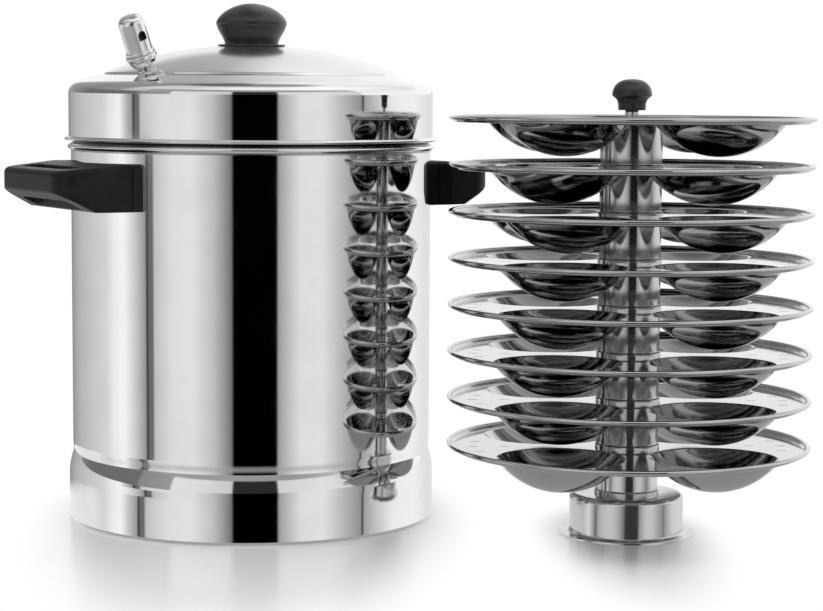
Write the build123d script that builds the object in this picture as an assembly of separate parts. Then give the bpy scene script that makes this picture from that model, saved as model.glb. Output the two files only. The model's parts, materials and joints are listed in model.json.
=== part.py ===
from build123d import *
import math
import os

# An eight-tier idli steamer in millimetres: a tall pot with its lid on, and the rack of idli
# plates standing beside it. The origin is the centre of the pot's base, +Z is up, the rack
# stands towards +X, and the front of the set faces -Y.

# Steel, fits and cuts shared by all pieces
sheet = 0.8
running_gap = 0.08
seat_gap = 0.3
fastener_gap = 0.05
clearance_hole_gap = 0.2
cut_overrun = 4.0
steel_bend = 1.5

# Pot
pot_radius = 112.0
pot_rim_height = 234.0
base_band_radius = 114.3
base_band_height = 41.5
base_shoulder_height = 7.5
base_corner_radius = 5.0
base_shoulder_bend = 38.0
base_neck_depth = 0.5
base_neck_height = 6.5
base_neck_bend = 3.0
base_throat_bend = 10.0
rim_bead_width = 2.9
rim_bead_height = 4.8
bead_round_share = 0.47

# Lid
lid_band_radius = 113.3
lid_corner_height = 35.0
lid_corner_radius = 7.5
lid_crease_radius = 90.8
lid_crease_height = 42.3
lid_step_width = 0.9
lid_step_height = 1.3
lid_step_bend = 0.6
dome_top_height = 59.1
dome_land_radius = 8.0
dome_arc_share = 0.98
lid_bead_width = 2.7
lid_bead_height = 4.6
lid_plug_depth = 9.0
lid_plug_gap = 0.35

# Lid knob, its fastening and its heat shield
knob_radius = 22.0
knob_height = 25.5
knob_foot_radius = 16.2
knob_waist_shares = [(0.79, 0.15), (0.885, 0.33)]
knob_belly_height_share = 0.53
knob_crown_shares = [(0.92, 0.665), (0.78, 0.79), (0.46, 0.925)]
knob_groove_radius = 0.7
knob_groove_height_share = 0.47
heat_shield_radius = 20.8
heat_shield_thickness = 1.0
knob_screw_radius = 2.5
knob_insert_radius = 5.0
knob_insert_length = 12.0
knob_screw_head_radius = 4.6
knob_screw_head_height = 3.0
knob_screw_head_round = 1.0
knob_screw_thread_share = 0.8
knob_washer_radius = 7.5
knob_washer_thickness = 1.0

# Steam vent and whistle, measured along their tilted axis from the dome's surface
whistle_radius_from_axis = 85.5
whistle_azimuth = 225.2
vent_seat_gap = 0.1
vent_radius = 3.0
vent_bore_radius = 1.6
vent_flange_radius = 4.6
vent_flange_thickness = 0.6
vent_height = 5.0
vent_depth = 8.5
vent_gasket_radius = 5.2
vent_gasket_thickness = 1.2
vent_gasket_gap = 0.15
vent_nut_flats = 9.0
vent_nut_thickness = 3.2
cage_foot_radius = 5.2
cage_bowl_radius = 8.7
cage_bowl_height = 5.9
cage_bowl_bulge = 1.0
cage_bore_length = 2.6
cage_wall = 1.2
collar_radius = 9.5
collar_height = 2.5
collar_round = 0.8
spigot_length = 3.0
cap_radius = 7.9
cap_height = 24.2
cap_wall = 0.9
cap_crown_radius = 5.2
cap_ring_radius = 8.8
cap_ring_height = 2.3
cap_ring_round = 0.7
cap_window_width = 5.4
cap_window_height = 5.6
cap_window_centre = 11.8
window_azimuth = 308.0
bowl_slot_width = 8.0
bowl_slot_height = 1.8
bowl_slot_centre = 4.6
sound_disc_thickness = 0.5
sound_hole_radius = 0.9

# Side handles
handle_azimuth_shares = {"left": 210.0 / 360.0, "right": 30.0 / 360.0}
handle_foot_width = 106.5
handle_reach = 37.0
handle_grip_width = 96.0
handle_corner_radius = 15.0
handle_rim_drop = 12.0
handle_top_fall = 3.6
handle_foot_height = 27.6
handle_tip_height = 16.2
handle_foot_depth = 12.0
handle_foot_flat = 3.0
handle_slope_setback = 15.0
handle_edge_round = 3.6
handle_lower_round = 2.0
handle_slot_setback = 16.5
handle_slot_width = 72.0
handle_slot_depth = 11.0
handle_slot_round_share = 0.48
handle_groove_width = 1.0
handle_groove_depth = 0.8
handle_lip_width = 6.6
bracket_width = 58.0
bracket_height = 17.0
bracket_thickness = 2.0
tab_width = 46.0
tab_reach = 9.0
tab_thickness = 2.5
bracket_gap = 0.3
handle_screw_spacing = 30.0
handle_screw_radius = 2.0
handle_screw_head_radius = 3.6
handle_screw_head_height = 2.2
handle_screw_grip = 4.0
handle_screw_setback_share = 0.55

# Rack
rack_x = 230.3
rack_y = -68.0
tier_count = 8
foot_height = 24.6
foot_radius = 34.3
foot_flange_radius = 41.4
foot_corner_radius = 6.0
rod_radius = 4.1
rod_top_gap = 5.6
stud_radius = 3.0
stud_length = 11.0
foot_stud_length = 7.5
rack_washer_radius = 6.5
rack_washer_thickness = 1.2
rack_nut_flats = 10.0
rack_nut_thickness = 5.0
sleeve_radius = 18.6
sleeve_length = 27.2
sleeve_corner_radius = 2.0
sleeve_flare = 0.8
sleeve_flare_height = 2.6

# Idli plates
plate_radius = 109.2
cup_radius = 37.5
cup_depth = 19.0
cup_circle_radius = 63.7
cup_count = 4
cup_lip_width = 1.6
cup_lip_bend = 1.2
cup_arc_share = 0.97
rim_rise = 2.6
rim_slope_width = 2.0
plate_bead_radius = 1.3
slot_length = 6.0
slot_width = 1.2
slot_centre_shares = [(0.68, 0.0), (0.83, -0.17), (0.83, 0.17), (0.86, 0.0)]
plate_turns = [46.5, 40.5, 50.0, 47.0, 46.0, 43.5, 44.5, 46.5]

# Rack knob
rack_knob_radius = 11.9
rack_knob_height = 18.5
rack_knob_hub_radius = 4.0
rack_knob_hub_height = 1.1
rack_knob_neck_radius = 7.9
rack_knob_edge_share = 0.46
rack_knob_waist_shares = [(0.70, 0.20), (0.80, 0.36)]
rack_knob_crown_shares = [(0.97, 0.64), (0.80, 0.86), (0.42, 0.97)]
rack_insert_radius = 4.8
rack_insert_length = 9.5
rack_insert_setback = 1.0


def equal_turns(start, count):
    """Angles of equal steps around a full turn, from a start angle."""
    return [start + 360.0 * index / count for index in range(count)]


def shifted(points, offset):
    """The polyline moved sideways by offset, to the left of its travel, mitred at corners."""
    normals = []
    for (x0, y0), (x1, y1) in zip(points, points[1:]):
        length = math.hypot(x1 - x0, y1 - y0)
        normals.append(((y0 - y1) / length, (x1 - x0) / length))
    moved = []
    for index, (x, y) in enumerate(points):
        before = normals[max(index - 1, 0)]
        after = normals[min(index, len(normals) - 1)]
        spread = 1.0 + before[0] * after[0] + before[1] * after[1]
        moved.append(
            (x + offset * (before[0] + after[0]) / spread, y + offset * (before[1] + after[1]) / spread)
        )
    return moved


def turn_signs(points):
    """+1 for each inner corner that turns left, -1 for each that turns right."""
    signs = []
    for (x0, y0), (x1, y1), (x2, y2) in zip(points, points[1:], points[2:]):
        cross = (x1 - x0) * (y2 - y1) - (y1 - y0) * (x2 - x1)
        signs.append(1.0 if cross > 0 else -1.0)
    return signs


def sheet_section(points, bends, offset):
    """Section of bent sheet: the polyline is one face, and offset gives the other face."""
    far_bends = [max(bend - offset * sign, 0.0) for bend, sign in zip(bends, turn_signs(points))]
    outline = list(points) + shifted(points, offset)[::-1]
    radii = [0.0] + list(bends) + [0.0, 0.0] + far_bends[::-1] + [0.0]
    return make_face(FilletPolyline(*outline, radius=radii, close=True))


def rounded_ring_section(inner_radius, low, width, height, round_radius):
    """Section of a ring with rounded corners, standing on the height low."""
    centre = Pos(inner_radius + width / 2, low + height / 2)
    return centre * RectangleRounded(width, height, round_radius)


def spun(section):
    """The section, drawn as radius and height, turned once around the Z axis."""
    return revolve(Plane.XZ * section, Axis.Z, revolution_arc=360.0)


def tube(radius, bore, low, high):
    """A straight tube around the Z axis, or a rod where the bore is zero."""
    body = Pos(0, 0, (low + high) / 2) * Cylinder(radius, high - low)
    if bore > 0:
        body -= Pos(0, 0, (low + high) / 2) * Cylinder(bore, high - low + cut_overrun)
    return body


def hexagon_nut(flats, bore, low, high):
    """A six-sided nut around the Z axis."""
    body = Pos(0, 0, low) * extrude(RegularPolygon(flats / 2, 6, major_radius=False), high - low)
    return body - Pos(0, 0, (low + high) / 2) * Cylinder(bore, high - low + cut_overrun)


def knob_profile(foot_radius, low, radius, height, waist_shares, belly_share, crown_shares):
    """Half outline of a turned knob: a hollow waist up to the belly and a domed crown."""
    foot = (foot_radius, low)
    belly = (radius, low + height * belly_share)
    waist = [(radius * r, low + height * h) for r, h in waist_shares]
    crown = [(radius * r, low + height * h) for r, h in crown_shares]
    side = Spline(foot, *waist, belly)
    top = Spline(belly, *crown, (0, low + height), tangents=[(0, 1), (-1, 0)])
    close = Polyline((0, low + height), (0, low), foot)
    return make_face(side + top + close)


# Heights and places worked out from the sizes above
pot_inner_radius = pot_radius - sheet
handle_top_height = pot_rim_height - handle_rim_drop
lid_low = pot_rim_height + seat_gap
lid_corner_z = pot_rim_height + lid_corner_height
lid_crease_z = pot_rim_height + lid_crease_height
dome_top_z = pot_rim_height + dome_top_height
lid_plug_radius = pot_inner_radius - lid_plug_gap
dome_span = lid_crease_radius - dome_land_radius
dome_rise = dome_top_z - lid_crease_z
dome_radius = (dome_span**2 + dome_rise**2) / (2 * dome_rise)
dome_slope = math.asin(dome_span / dome_radius)
tier_pitch = sleeve_length + sheet
rod_top = foot_height + tier_pitch * tier_count + rod_top_gap
cup_sphere_radius = (cup_radius**2 + cup_depth**2) / (2 * cup_depth)
cup_slope = math.asin(cup_radius / cup_sphere_radius)


def dome_height(radius):
    """Height of the dome's outer surface at a radius from the lid's axis."""
    return dome_top_z - dome_radius + math.sqrt(dome_radius**2 - (radius - dome_land_radius) ** 2)


def make_pot_shell():
    """Pressed pot: flat floor, prouder base band, shallow neck, straight wall and rolled rim."""
    wall = [
        (0, 0),
        (base_band_radius, 0),
        (base_band_radius, base_band_height - base_shoulder_height),
        (pot_radius - base_neck_depth, base_band_height),
        (pot_radius, base_band_height + base_neck_height),
        (pot_radius, pot_rim_height - rim_bead_height / 2),
    ]
    bends = [base_corner_radius, base_shoulder_bend, base_neck_bend, base_throat_bend]
    bead = rounded_ring_section(
        pot_inner_radius,
        pot_rim_height - rim_bead_height,
        rim_bead_width,
        rim_bead_height,
        rim_bead_width * bead_round_share,
    )
    return spun(sheet_section(wall, bends, sheet) + bead)


def make_lid_shell():
    """Pressed lid: dome, crease, sloping shoulder, band, rolled bead and the plug in the mouth."""
    dome_corner = dome_land_radius + dome_radius * math.tan(dome_slope / 2)
    skin = [
        (0, dome_top_z),
        (dome_corner, dome_top_z),
        (lid_crease_radius, lid_crease_z),
        (lid_crease_radius + lid_step_width, lid_crease_z - lid_step_height),
        (lid_band_radius, lid_corner_z),
        (lid_band_radius, lid_low),
        (lid_plug_radius, lid_low),
        (lid_plug_radius, lid_low - lid_plug_depth),
    ]
    bends = [
        dome_radius * dome_arc_share,
        lid_step_bend + sheet,
        lid_step_bend,
        lid_corner_radius,
        sheet,
        sheet,
    ]
    bead = rounded_ring_section(
        lid_band_radius - sheet / 2,
        lid_low,
        lid_bead_width + sheet / 2,
        lid_bead_height,
        lid_bead_width * bead_round_share,
    )
    shell = spun(sheet_section(skin, bends, -sheet) + bead)
    screw_hole = Pos(0, 0, dome_top_z) * Cylinder(
        knob_screw_radius + clearance_hole_gap, sheet + cut_overrun
    )
    vent_hole = whistle_plane() * Cylinder(vent_radius + running_gap, sheet + cut_overrun)
    return shell - screw_hole - vent_hole


def whistle_plane():
    """Plane on the dome where the whistle stands: local Z is its axis, local X its level side."""
    turn = math.radians(whistle_azimuth)
    tilt = math.asin((whistle_radius_from_axis - dome_land_radius) / dome_radius)
    outward = Vector(math.cos(turn), math.sin(turn), 0)
    axis = outward * math.sin(tilt) + Vector(0, 0, math.cos(tilt))
    base = outward * whistle_radius_from_axis + Vector(0, 0, dome_height(whistle_radius_from_axis))
    level = Vector(-math.sin(turn), math.cos(turn), 0)
    return Plane(origin=base + axis * vent_seat_gap, x_dir=level, z_dir=axis)


def window_turn():
    """Angle about the whistle's axis that turns local X to face the windows' azimuth."""
    return window_azimuth - whistle_azimuth - 90.0


def make_lid_knob():
    """Moulded knob with a hollow waist, a domed crown and one fine groove at the belly."""
    low = dome_top_z + heat_shield_thickness
    profile = knob_profile(
        knob_foot_radius,
        low,
        knob_radius,
        knob_height,
        knob_waist_shares,
        knob_belly_height_share,
        knob_crown_shares,
    )
    knob = spun(profile)
    groove = Pos(0, 0, low + knob_height * knob_groove_height_share) * Torus(
        knob_radius, knob_groove_radius
    )
    pocket = tube(knob_insert_radius, 0, low, low + knob_insert_length)
    return knob - groove - pocket


def make_knob_insert():
    """Threaded brass insert moulded into the lid knob."""
    low = dome_top_z + heat_shield_thickness
    return tube(knob_insert_radius, knob_screw_radius + fastener_gap, low, low + knob_insert_length)


def make_heat_shield():
    """Thin round shield between the lid and its knob."""
    return tube(
        heat_shield_radius,
        knob_screw_radius + clearance_hole_gap,
        dome_top_z,
        dome_top_z + heat_shield_thickness,
    )


def make_knob_washer():
    """Steel washer under the knob screw, inside the lid."""
    high = dome_top_z - sheet
    return tube(
        knob_washer_radius, knob_screw_radius + clearance_hole_gap, high - knob_washer_thickness, high
    )


def make_knob_screw():
    """Pan head screw that holds the knob from inside the lid."""
    head_top = dome_top_z - sheet - knob_washer_thickness
    tip = dome_top_z + heat_shield_thickness + knob_insert_length * knob_screw_thread_share
    head = tube(knob_screw_head_radius, 0, head_top - knob_screw_head_height, head_top)
    head = fillet(head.edges().group_by(Axis.Z)[0], knob_screw_head_round)
    return head + tube(knob_screw_radius, 0, head_top, tip)


def make_vent_tube():
    """Flanged steam nipple through the lid, which the whistle sits on."""
    body = tube(vent_radius, 0, -vent_depth, vent_height)
    body += tube(vent_flange_radius, 0, 0, vent_flange_thickness)
    body -= tube(vent_bore_radius, 0, -vent_depth - cut_overrun, vent_height + cut_overrun)
    return whistle_plane() * body


def make_vent_gasket():
    """Soft ring that seals the nipple under the lid."""
    high = -sheet - vent_seat_gap - vent_gasket_gap
    return whistle_plane() * tube(
        vent_gasket_radius, vent_radius + fastener_gap, high - vent_gasket_thickness, high
    )


def make_vent_nut():
    """Nut that clamps the nipple from inside the lid."""
    high = -sheet - vent_seat_gap - vent_gasket_gap - vent_gasket_thickness
    return whistle_plane() * hexagon_nut(
        vent_nut_flats, vent_radius + fastener_gap, high - vent_nut_thickness, high
    )


def make_whistle_cage():
    """Lower half of the whistle: slotted bowl, beaded collar and the spigot for the cap."""
    low = vent_flange_thickness
    collar_low = low + cage_bowl_height
    collar_high = collar_low + collar_height
    bulge = (
        (cage_foot_radius + cage_bowl_radius) / 2 + cage_bowl_bulge / 2,
        (low + collar_low) / 2 - cage_bowl_bulge / 2,
    )
    bowl = make_face(
        ThreePointArc((cage_foot_radius, low), bulge, (cage_bowl_radius, collar_low))
        + Polyline((cage_bowl_radius, collar_low), (0, collar_low), (0, low), (cage_foot_radius, low))
    )
    collar = rounded_ring_section(
        cap_radius - cap_wall - cage_wall,
        collar_low,
        collar_radius - (cap_radius - cap_wall - cage_wall),
        collar_height,
        collar_round,
    )
    body = spun(bowl) + spun(collar)
    body += tube(cap_radius - cap_wall - fastener_gap, 0, collar_low, collar_high + spigot_length)
    throat = cap_radius - cap_wall - cage_wall - fastener_gap
    body -= tube(throat, 0, collar_low, collar_high + spigot_length + cut_overrun)
    cone_low = low + cage_bore_length
    body -= Pos(0, 0, (cone_low + collar_low) / 2) * Cone(
        vent_radius + cage_wall / 2, throat, collar_low - cone_low
    )
    body -= tube(vent_radius + running_gap, 0, low - cut_overrun, cone_low + cut_overrun)
    slot = Pos(cage_bowl_radius, 0, bowl_slot_centre) * Box(
        cage_bowl_radius, bowl_slot_width, bowl_slot_height
    )
    return whistle_plane() * (body - Rot(0, 0, window_turn()) * slot)


def make_whistle_cap():
    """Upper half of the whistle: domed tube with a round-topped window and a ring at its foot."""
    low = vent_flange_thickness + cage_bowl_height + collar_height
    skin = [(cap_radius, low), (cap_radius, low + cap_height), (0, low + cap_height)]
    wall = sheet_section(skin, [cap_crown_radius], cap_wall)
    ring = rounded_ring_section(
        cap_radius - cap_wall, low, cap_ring_radius - cap_radius + cap_wall, cap_ring_height, cap_ring_round
    )
    body = spun(wall + ring)
    body -= tube(cap_radius - cap_wall, 0, low - cut_overrun, low + cap_ring_height)
    half = cap_window_width / 2
    centre = low + cap_window_centre
    sill = cap_window_height - half
    opening = Pos(cap_radius, 0, centre) * (Rot(0, 90, 0) * Cylinder(half, cap_radius))
    opening += Pos(cap_radius, 0, centre - sill / 2) * Box(cap_radius, cap_window_width, sill)
    return whistle_plane() * (body - Rot(0, 0, window_turn()) * opening)


def make_sound_disc():
    """Pierced disc that makes the steam whistle, resting on the spigot inside the cap."""
    low = vent_flange_thickness + cage_bowl_height + collar_height + spigot_length
    radius = cap_radius - cap_wall - fastener_gap
    return whistle_plane() * tube(radius, sound_hole_radius, low, low + sound_disc_thickness)


def handle_frame(side):
    """Turn that takes local +X, straight out of the pot's wall, to one handle's side."""
    return Rot(0, 0, 360.0 * handle_azimuth_shares[side])


def handle_outline():
    """Plan of one handle: wide foot on the wall, tapered sides and a rounded outer bar."""
    half_foot = handle_foot_width / 2
    half_grip = handle_grip_width / 2
    near = math.sqrt(pot_radius**2 - half_foot**2) - steel_bend
    straight = pot_radius + handle_foot_flat
    outer = pot_radius + handle_reach
    points = [
        (near, -half_foot),
        (straight, -half_foot),
        (outer, -half_grip),
        (outer, half_grip),
        (straight, half_foot),
        (near, half_foot),
    ]
    bends = [0.0, handle_foot_depth, handle_corner_radius, handle_corner_radius, handle_foot_depth, 0.0]
    return make_face(FilletPolyline(*points, radius=bends, close=True))


def handle_profile():
    """Side view of one handle: top that falls outwards, upright end and sloping underside."""
    low = handle_top_height - handle_foot_height
    outer = pot_radius + handle_reach
    inner = pot_radius - handle_foot_width
    return make_face(
        Polyline(
            (inner, low),
            (pot_radius + handle_slope_setback, low),
            (outer, handle_top_height - handle_tip_height),
            (outer, handle_top_height - handle_top_fall),
            (pot_radius, handle_top_height),
            (inner, handle_top_height),
            close=True,
        )
    )


def make_handle(side):
    """Moulded side handle: finger slot, sloping underside and a pocket for its bracket."""
    low = handle_top_height - handle_foot_height
    body = Pos(0, 0, low) * extrude(handle_outline(), handle_foot_height)
    body &= extrude(Plane.XZ * handle_profile(), handle_foot_width, both=True)
    grip_start = pot_radius + handle_slot_setback + handle_slot_depth
    upper = body.faces().filter_by(lambda face: face.normal_at(face.center()).Z > 0).edges()
    inner_edge = math.sqrt(pot_radius**2 - (handle_foot_width / 2) ** 2)
    crease = upper.sort_by(lambda edge: abs(edge.center().X - pot_radius) + abs(edge.center().Y))[0]
    rounded = [edge for edge in upper if edge.center().X > inner_edge and edge != crease]
    body = fillet(rounded, handle_edge_round)
    lower = body.faces().filter_by(lambda face: face.normal_at(face.center()).Z < 0).edges()
    body = fillet([edge for edge in lower if edge.center().X > grip_start], handle_lower_round)
    slot_centre = grip_start - handle_slot_depth / 2
    slot = Pos(slot_centre, 0, low) * extrude(
        RectangleRounded(
            handle_slot_depth, handle_slot_width, handle_slot_depth * handle_slot_round_share
        ),
        handle_foot_height + cut_overrun,
    )
    body -= slot
    body -= Pos(0, 0, low) * Cylinder(pot_radius + seat_gap, 2 * handle_foot_height + cut_overrun)
    body -= bracket_pocket(low)
    for y in (-handle_screw_spacing / 2, handle_screw_spacing / 2):
        body -= handle_screw_hole(y, low)
    for sign in (-1, 1):
        body -= end_groove(sign, low)
    return handle_frame(side) * body


def end_groove(sign, low):
    """Fine upright groove that parts the handle's end from its foot lip."""
    reach = handle_foot_width / 2
    place = math.sqrt(pot_radius**2 - reach**2) + handle_lip_width
    return Pos(place, sign * reach, low + handle_foot_height / 2) * Box(
        handle_groove_width, 2 * handle_groove_depth, handle_foot_height + cut_overrun
    )


def bracket_curve_depth():
    """How far the pot's wall falls back at the ends of a bracket."""
    return pot_radius - math.sqrt(pot_radius**2 - (bracket_width / 2) ** 2)


def bracket_middle():
    """Height of the middle of the brackets."""
    return handle_top_height - handle_foot_height / 2


def bracket_pocket(low):
    """Room for the bracket's plate and tab inside the handle's foot."""
    middle = bracket_middle()
    inner = pot_radius - bracket_curve_depth() - bracket_gap
    outer = pot_radius + bracket_thickness + bracket_gap
    plate = Pos((inner + outer) / 2, 0, middle) * Box(
        outer - inner, bracket_width + 2 * bracket_gap, bracket_height + 2 * bracket_gap
    )
    tab_out = pot_radius + tab_reach + bracket_gap
    tab = Pos((pot_radius + tab_out) / 2, 0, middle) * Box(
        tab_out - pot_radius, tab_width + 2 * bracket_gap, tab_thickness + 2 * bracket_gap
    )
    return plate + tab


def screw_setback():
    """Distance of the handle screws from the pot's axis."""
    return pot_radius + bracket_thickness + (tab_reach - bracket_thickness) * handle_screw_setback_share


def handle_screw_hole(y, low):
    """Stepped hole from under the handle for one screw."""
    middle = bracket_middle()
    x = screw_setback()
    top = middle + tab_thickness / 2 + handle_screw_grip
    bore = handle_screw_radius + clearance_hole_gap
    hole = tube(bore, 0, low - cut_overrun, top + clearance_hole_gap)
    counterbore = tube(
        handle_screw_head_radius + clearance_hole_gap, 0, low - cut_overrun, low + handle_screw_head_height
    )
    return Pos(x, y, 0) * (hole + counterbore)


def make_handle_bracket(side):
    """Steel bracket welded to the wall: a plate that follows the pot and one drilled tab."""
    middle = bracket_middle()
    depth = bracket_curve_depth()
    plate = Pos(pot_radius + (bracket_thickness - depth) / 2, 0, middle) * Box(
        bracket_thickness + depth, bracket_width, bracket_height
    )
    tab = Pos(pot_radius + tab_reach / 2, 0, middle) * Box(tab_reach, tab_width, tab_thickness)
    body = plate + tab - Pos(0, 0, middle) * Cylinder(pot_radius, bracket_height + cut_overrun)
    for y in (-handle_screw_spacing / 2, handle_screw_spacing / 2):
        body -= Pos(screw_setback(), y, middle) * Cylinder(
            handle_screw_radius + fastener_gap, tab_thickness + cut_overrun
        )
    return handle_frame(side) * body


def make_handle_screws(side):
    """The two screws that hold one handle on its bracket from below."""
    low = handle_top_height - handle_foot_height
    middle = bracket_middle()
    top = middle + tab_thickness / 2 + handle_screw_grip
    shank_low = low + handle_screw_head_height
    screw = tube(handle_screw_radius, 0, shank_low, top)
    screw += tube(handle_screw_head_radius, 0, low, shank_low)
    spots = (-handle_screw_spacing / 2, handle_screw_spacing / 2)
    return [handle_frame(side) * Pos(screw_setback(), y, 0) * screw for y in spots]


def at_rack(shape):
    """The shape moved from the origin to the rack's place beside the pot."""
    return Pos(rack_x, rack_y, 0) * shape


def make_rack_foot():
    """Pressed foot: an inverted cup with a flat flange on the table."""
    skin = [
        (0, foot_height),
        (foot_radius, foot_height),
        (foot_radius, sheet),
        (foot_flange_radius, sheet),
    ]
    foot = spun(sheet_section(skin, [foot_corner_radius, steel_bend], -sheet))
    return at_rack(foot - tube(stud_radius + clearance_hole_gap, 0, 0, foot_height + cut_overrun))


def make_rack_rod():
    """Centre rod: shouldered at both ends, with a stud for the nut and one for the knob."""
    rod = tube(rod_radius, 0, foot_height, rod_top)
    rod += tube(stud_radius, 0, foot_height - foot_stud_length, foot_height)
    rod += tube(stud_radius, 0, rod_top, rod_top + stud_length)
    return at_rack(rod)


def make_rack_washer():
    """Washer under the foot's top."""
    high = foot_height - sheet
    return at_rack(
        tube(rack_washer_radius, stud_radius + clearance_hole_gap, high - rack_washer_thickness, high)
    )


def make_rack_nut():
    """Nut that holds the rod in the foot."""
    high = foot_height - sheet - rack_washer_thickness
    return at_rack(
        hexagon_nut(rack_nut_flats, stud_radius + fastener_gap, high - rack_nut_thickness, high)
    )


def tier_web_height(tier):
    """Top of the plate's web on one tier, counted from 1 at the top."""
    return foot_height + tier_pitch * (tier_count - tier + 1)


def make_spacer_sleeve(tier):
    """Spacer cup under one plate: closed top with a rod hole, flared open foot."""
    top = sleeve_length
    skin = [
        (0, top),
        (sleeve_radius, top),
        (sleeve_radius, sleeve_flare_height),
        (sleeve_radius + sleeve_flare, sleeve_flare_height - sleeve_flare),
        (sleeve_radius + sleeve_flare, 0),
    ]
    sleeve = spun(sheet_section(skin, [sleeve_corner_radius, 0.0, 0.0], -sheet))
    sleeve -= Pos(0, 0, top) * Cylinder(rod_radius + running_gap, cut_overrun)
    return at_rack(Pos(0, 0, tier_web_height(tier) - sheet - sleeve_length) * sleeve)


def make_cup():
    """One pressed idli cup with the narrow flat lip that joins it to the web."""
    corner = cup_sphere_radius * math.tan(cup_slope / 2)
    skin = [
        (0, -cup_depth),
        (corner, -cup_depth),
        (cup_radius, 0),
        (cup_radius + cup_lip_width, 0),
    ]
    bends = [cup_sphere_radius * cup_arc_share, cup_lip_bend]
    return spun(sheet_section(skin, bends, sheet))


def make_plate_blank():
    """One idli plate at the origin: web, four cups, steam slots and rolled rim."""
    bead_centre = plate_radius - plate_bead_radius
    skin = [
        (0, 0),
        (bead_centre - rim_slope_width, 0),
        (bead_centre, rim_rise),
    ]
    bead = Pos(bead_centre, rim_rise) * Circle(plate_bead_radius)
    plate = spun(sheet_section(skin, [steel_bend], sheet) + bead)
    plate -= Cylinder(rod_radius + running_gap, cut_overrun)
    cup = make_cup()
    for turn in equal_turns(0, cup_count):
        place = Rot(0, 0, turn) * Pos(cup_circle_radius, 0, 0)
        plate -= place * Cylinder(cup_radius + cup_lip_width, cut_overrun)
        plate += place * cup
    slot = Box(slot_length - slot_width, slot_width, cut_overrun)
    for end in (-1, 1):
        slot += Pos(end * (slot_length - slot_width) / 2, 0, 0) * Cylinder(slot_width / 2, cut_overrun)
    for turn in equal_turns(180.0 / cup_count, cup_count):
        for along, across in slot_centre_shares:
            plate -= Rot(0, 0, turn) * Pos(plate_radius * along, plate_radius * across, 0) * slot
    return plate


def make_idli_plate(blank, tier):
    """The blank turned and lifted to its tier."""
    place = Pos(0, 0, tier_web_height(tier) - sheet) * Rot(0, 0, plate_turns[tier - 1])
    return at_rack(place * blank)


def make_rack_knob():
    """Moulded knob on top of the rack: small hub, hollow neck, sharp edge and domed crown."""
    low = rod_top + rack_knob_hub_height
    profile = knob_profile(
        rack_knob_neck_radius,
        low,
        rack_knob_radius,
        rack_knob_height,
        rack_knob_waist_shares,
        rack_knob_edge_share,
        rack_knob_crown_shares,
    )
    knob = spun(profile) + tube(rack_knob_hub_radius, 0, low - rack_knob_hub_height, low)
    insert_low = low + rack_insert_setback
    insert_high = insert_low + rack_insert_length
    knob -= tube(rack_insert_radius + running_gap, 0, insert_low, insert_high)
    knob -= tube(stud_radius + running_gap, 0, low - cut_overrun, insert_high)
    return at_rack(knob)


def make_rack_insert():
    """Threaded brass insert of the rack knob."""
    low = rod_top + rack_knob_hub_height + rack_insert_setback
    return at_rack(
        tube(rack_insert_radius, stud_radius + running_gap, low, low + rack_insert_length)
    )


def all_parts():
    """Every node's name with its solids."""
    parts = {
        "pot_shell": make_pot_shell(),
        "lid_shell": make_lid_shell(),
        "lid_knob": make_lid_knob(),
        "lid_knob_insert": make_knob_insert(),
        "lid_knob_heat_shield": make_heat_shield(),
        "lid_knob_washer": make_knob_washer(),
        "lid_knob_screw": make_knob_screw(),
        "steam_vent_tube": make_vent_tube(),
        "steam_vent_gasket": make_vent_gasket(),
        "steam_vent_nut": make_vent_nut(),
        "whistle_cage": make_whistle_cage(),
        "whistle_cap": make_whistle_cap(),
        "whistle_sound_disc": make_sound_disc(),
        "rack_foot": make_rack_foot(),
        "rack_rod": make_rack_rod(),
        "rack_rod_washer": make_rack_washer(),
        "rack_rod_nut": make_rack_nut(),
        "rack_knob": make_rack_knob(),
        "rack_knob_insert": make_rack_insert(),
    }
    for side in handle_azimuth_shares:
        parts[f"handle_{side}"] = make_handle(side)
        parts[f"handle_bracket_{side}"] = make_handle_bracket(side)
        parts[f"handle_screws_{side}"] = make_handle_screws(side)
    blank = make_plate_blank()
    for tier in range(1, tier_count + 1):
        parts[f"spacer_sleeve_{tier}"] = make_spacer_sleeve(tier)
        parts[f"idli_plate_{tier}"] = make_idli_plate(blank, tier)
    return parts


def write_parts(parts):
    """One STEP file per node."""
    os.makedirs("parts", exist_ok=True)
    for name, shape in parts.items():
        solids = shape if isinstance(shape, list) else [shape]
        whole = Compound(children=solids) if len(solids) > 1 else solids[0]
        export_step(whole, f"parts/{name}.step")


write_parts(all_parts())
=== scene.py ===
"""Looks of a tall eight-tier idli steamer: polished pot and lid, black fittings and the rack of
plates beside it. All lengths are metres in the frame's own coordinates."""

import json
import math

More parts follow.
